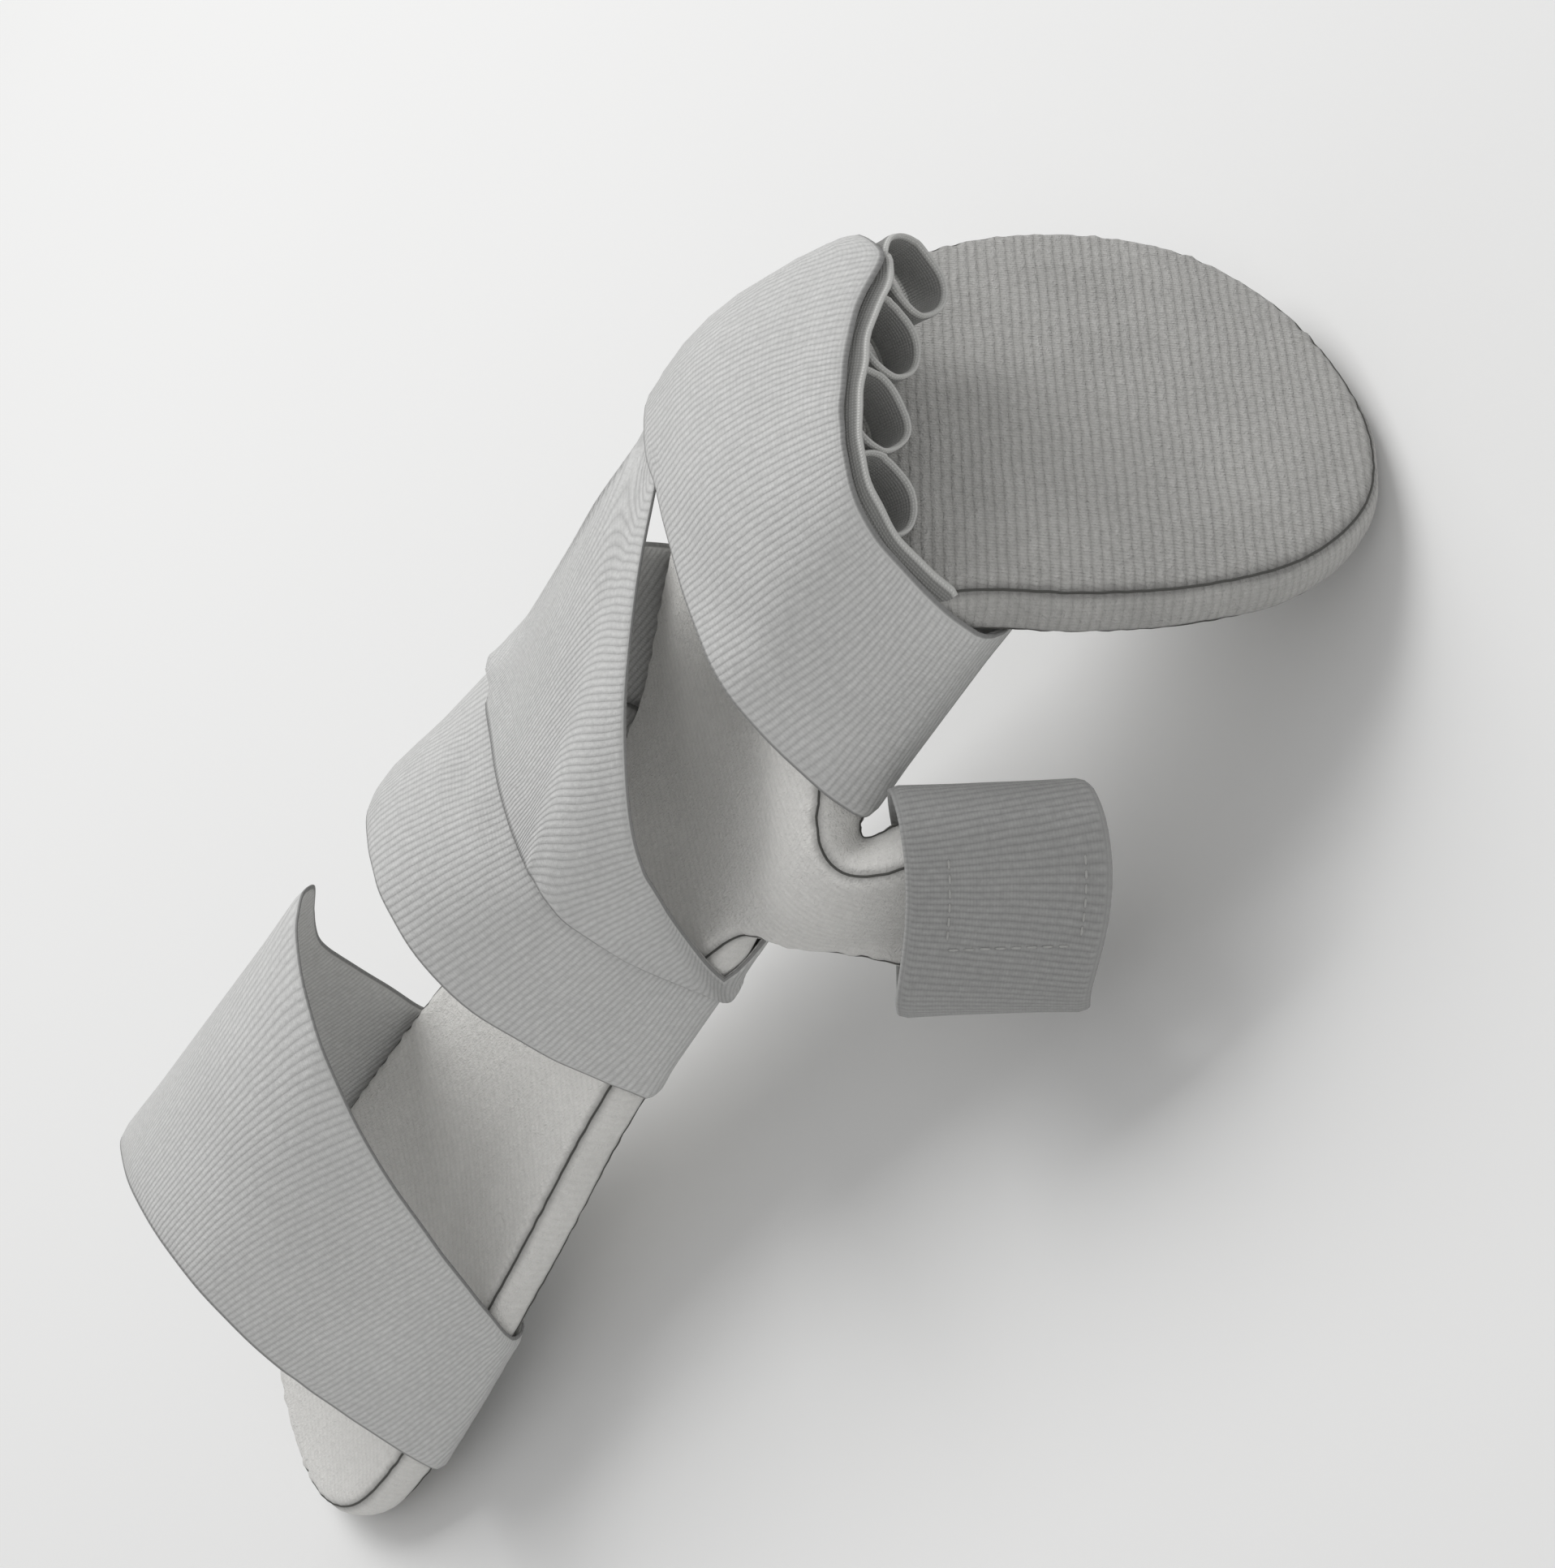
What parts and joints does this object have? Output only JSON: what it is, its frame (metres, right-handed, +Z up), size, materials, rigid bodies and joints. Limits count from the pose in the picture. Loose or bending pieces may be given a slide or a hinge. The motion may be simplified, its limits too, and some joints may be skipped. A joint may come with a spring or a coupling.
{
  "type": "finger splint board",
  "caption": "Padded resting splint board for forearm, wrist, thumb and fingers, closed by elastic bands, with small loops that keep the fingers apart.",
  "frame": {"origin": "on the floor, under the middle of the whole splint, as it stands by itself palm side down on pan tip and forearm end", "axes": "+X from the forearm end towards the fingertips, +Y towards the little finger's side, +Z up"},
  "size_m": [0.3342, 0.1476, 0.115],
  "materials": {
    "padded_board": "brushed ribbed knit cover over foam, matt warm grey",
    "forearm_strap": "ribbed elastic band, matt pale grey",
    "wrist_strap": "ribbed elastic band, matt pale grey",
    "crossing_strap": "ribbed elastic band, matt pale grey",
    "hand_strap": "ribbed elastic band, matt pale grey",
    "thumb_strap": "ribbed elastic band, matt pale grey",
    "finger_loop_1": "soft ribbon, matt pale grey",
    "finger_loop_2": "soft ribbon, matt pale grey",
    "finger_loop_3": "soft ribbon, matt pale grey",
    "finger_loop_4": "soft ribbon, matt pale grey"
  },
  "bodies": {
    "root": {"padded_board": "padded_board", "forearm_strap": "forearm_strap", "wrist_strap": "wrist_strap", "crossing_strap": "crossing_strap", "hand_strap": "hand_strap", "thumb_strap": "thumb_strap", "finger_loop_1": "finger_loop_1", "finger_loop_2": "finger_loop_2", "finger_loop_3": "finger_loop_3", "finger_loop_4": "finger_loop_4"}
  },
  "joints": []
}
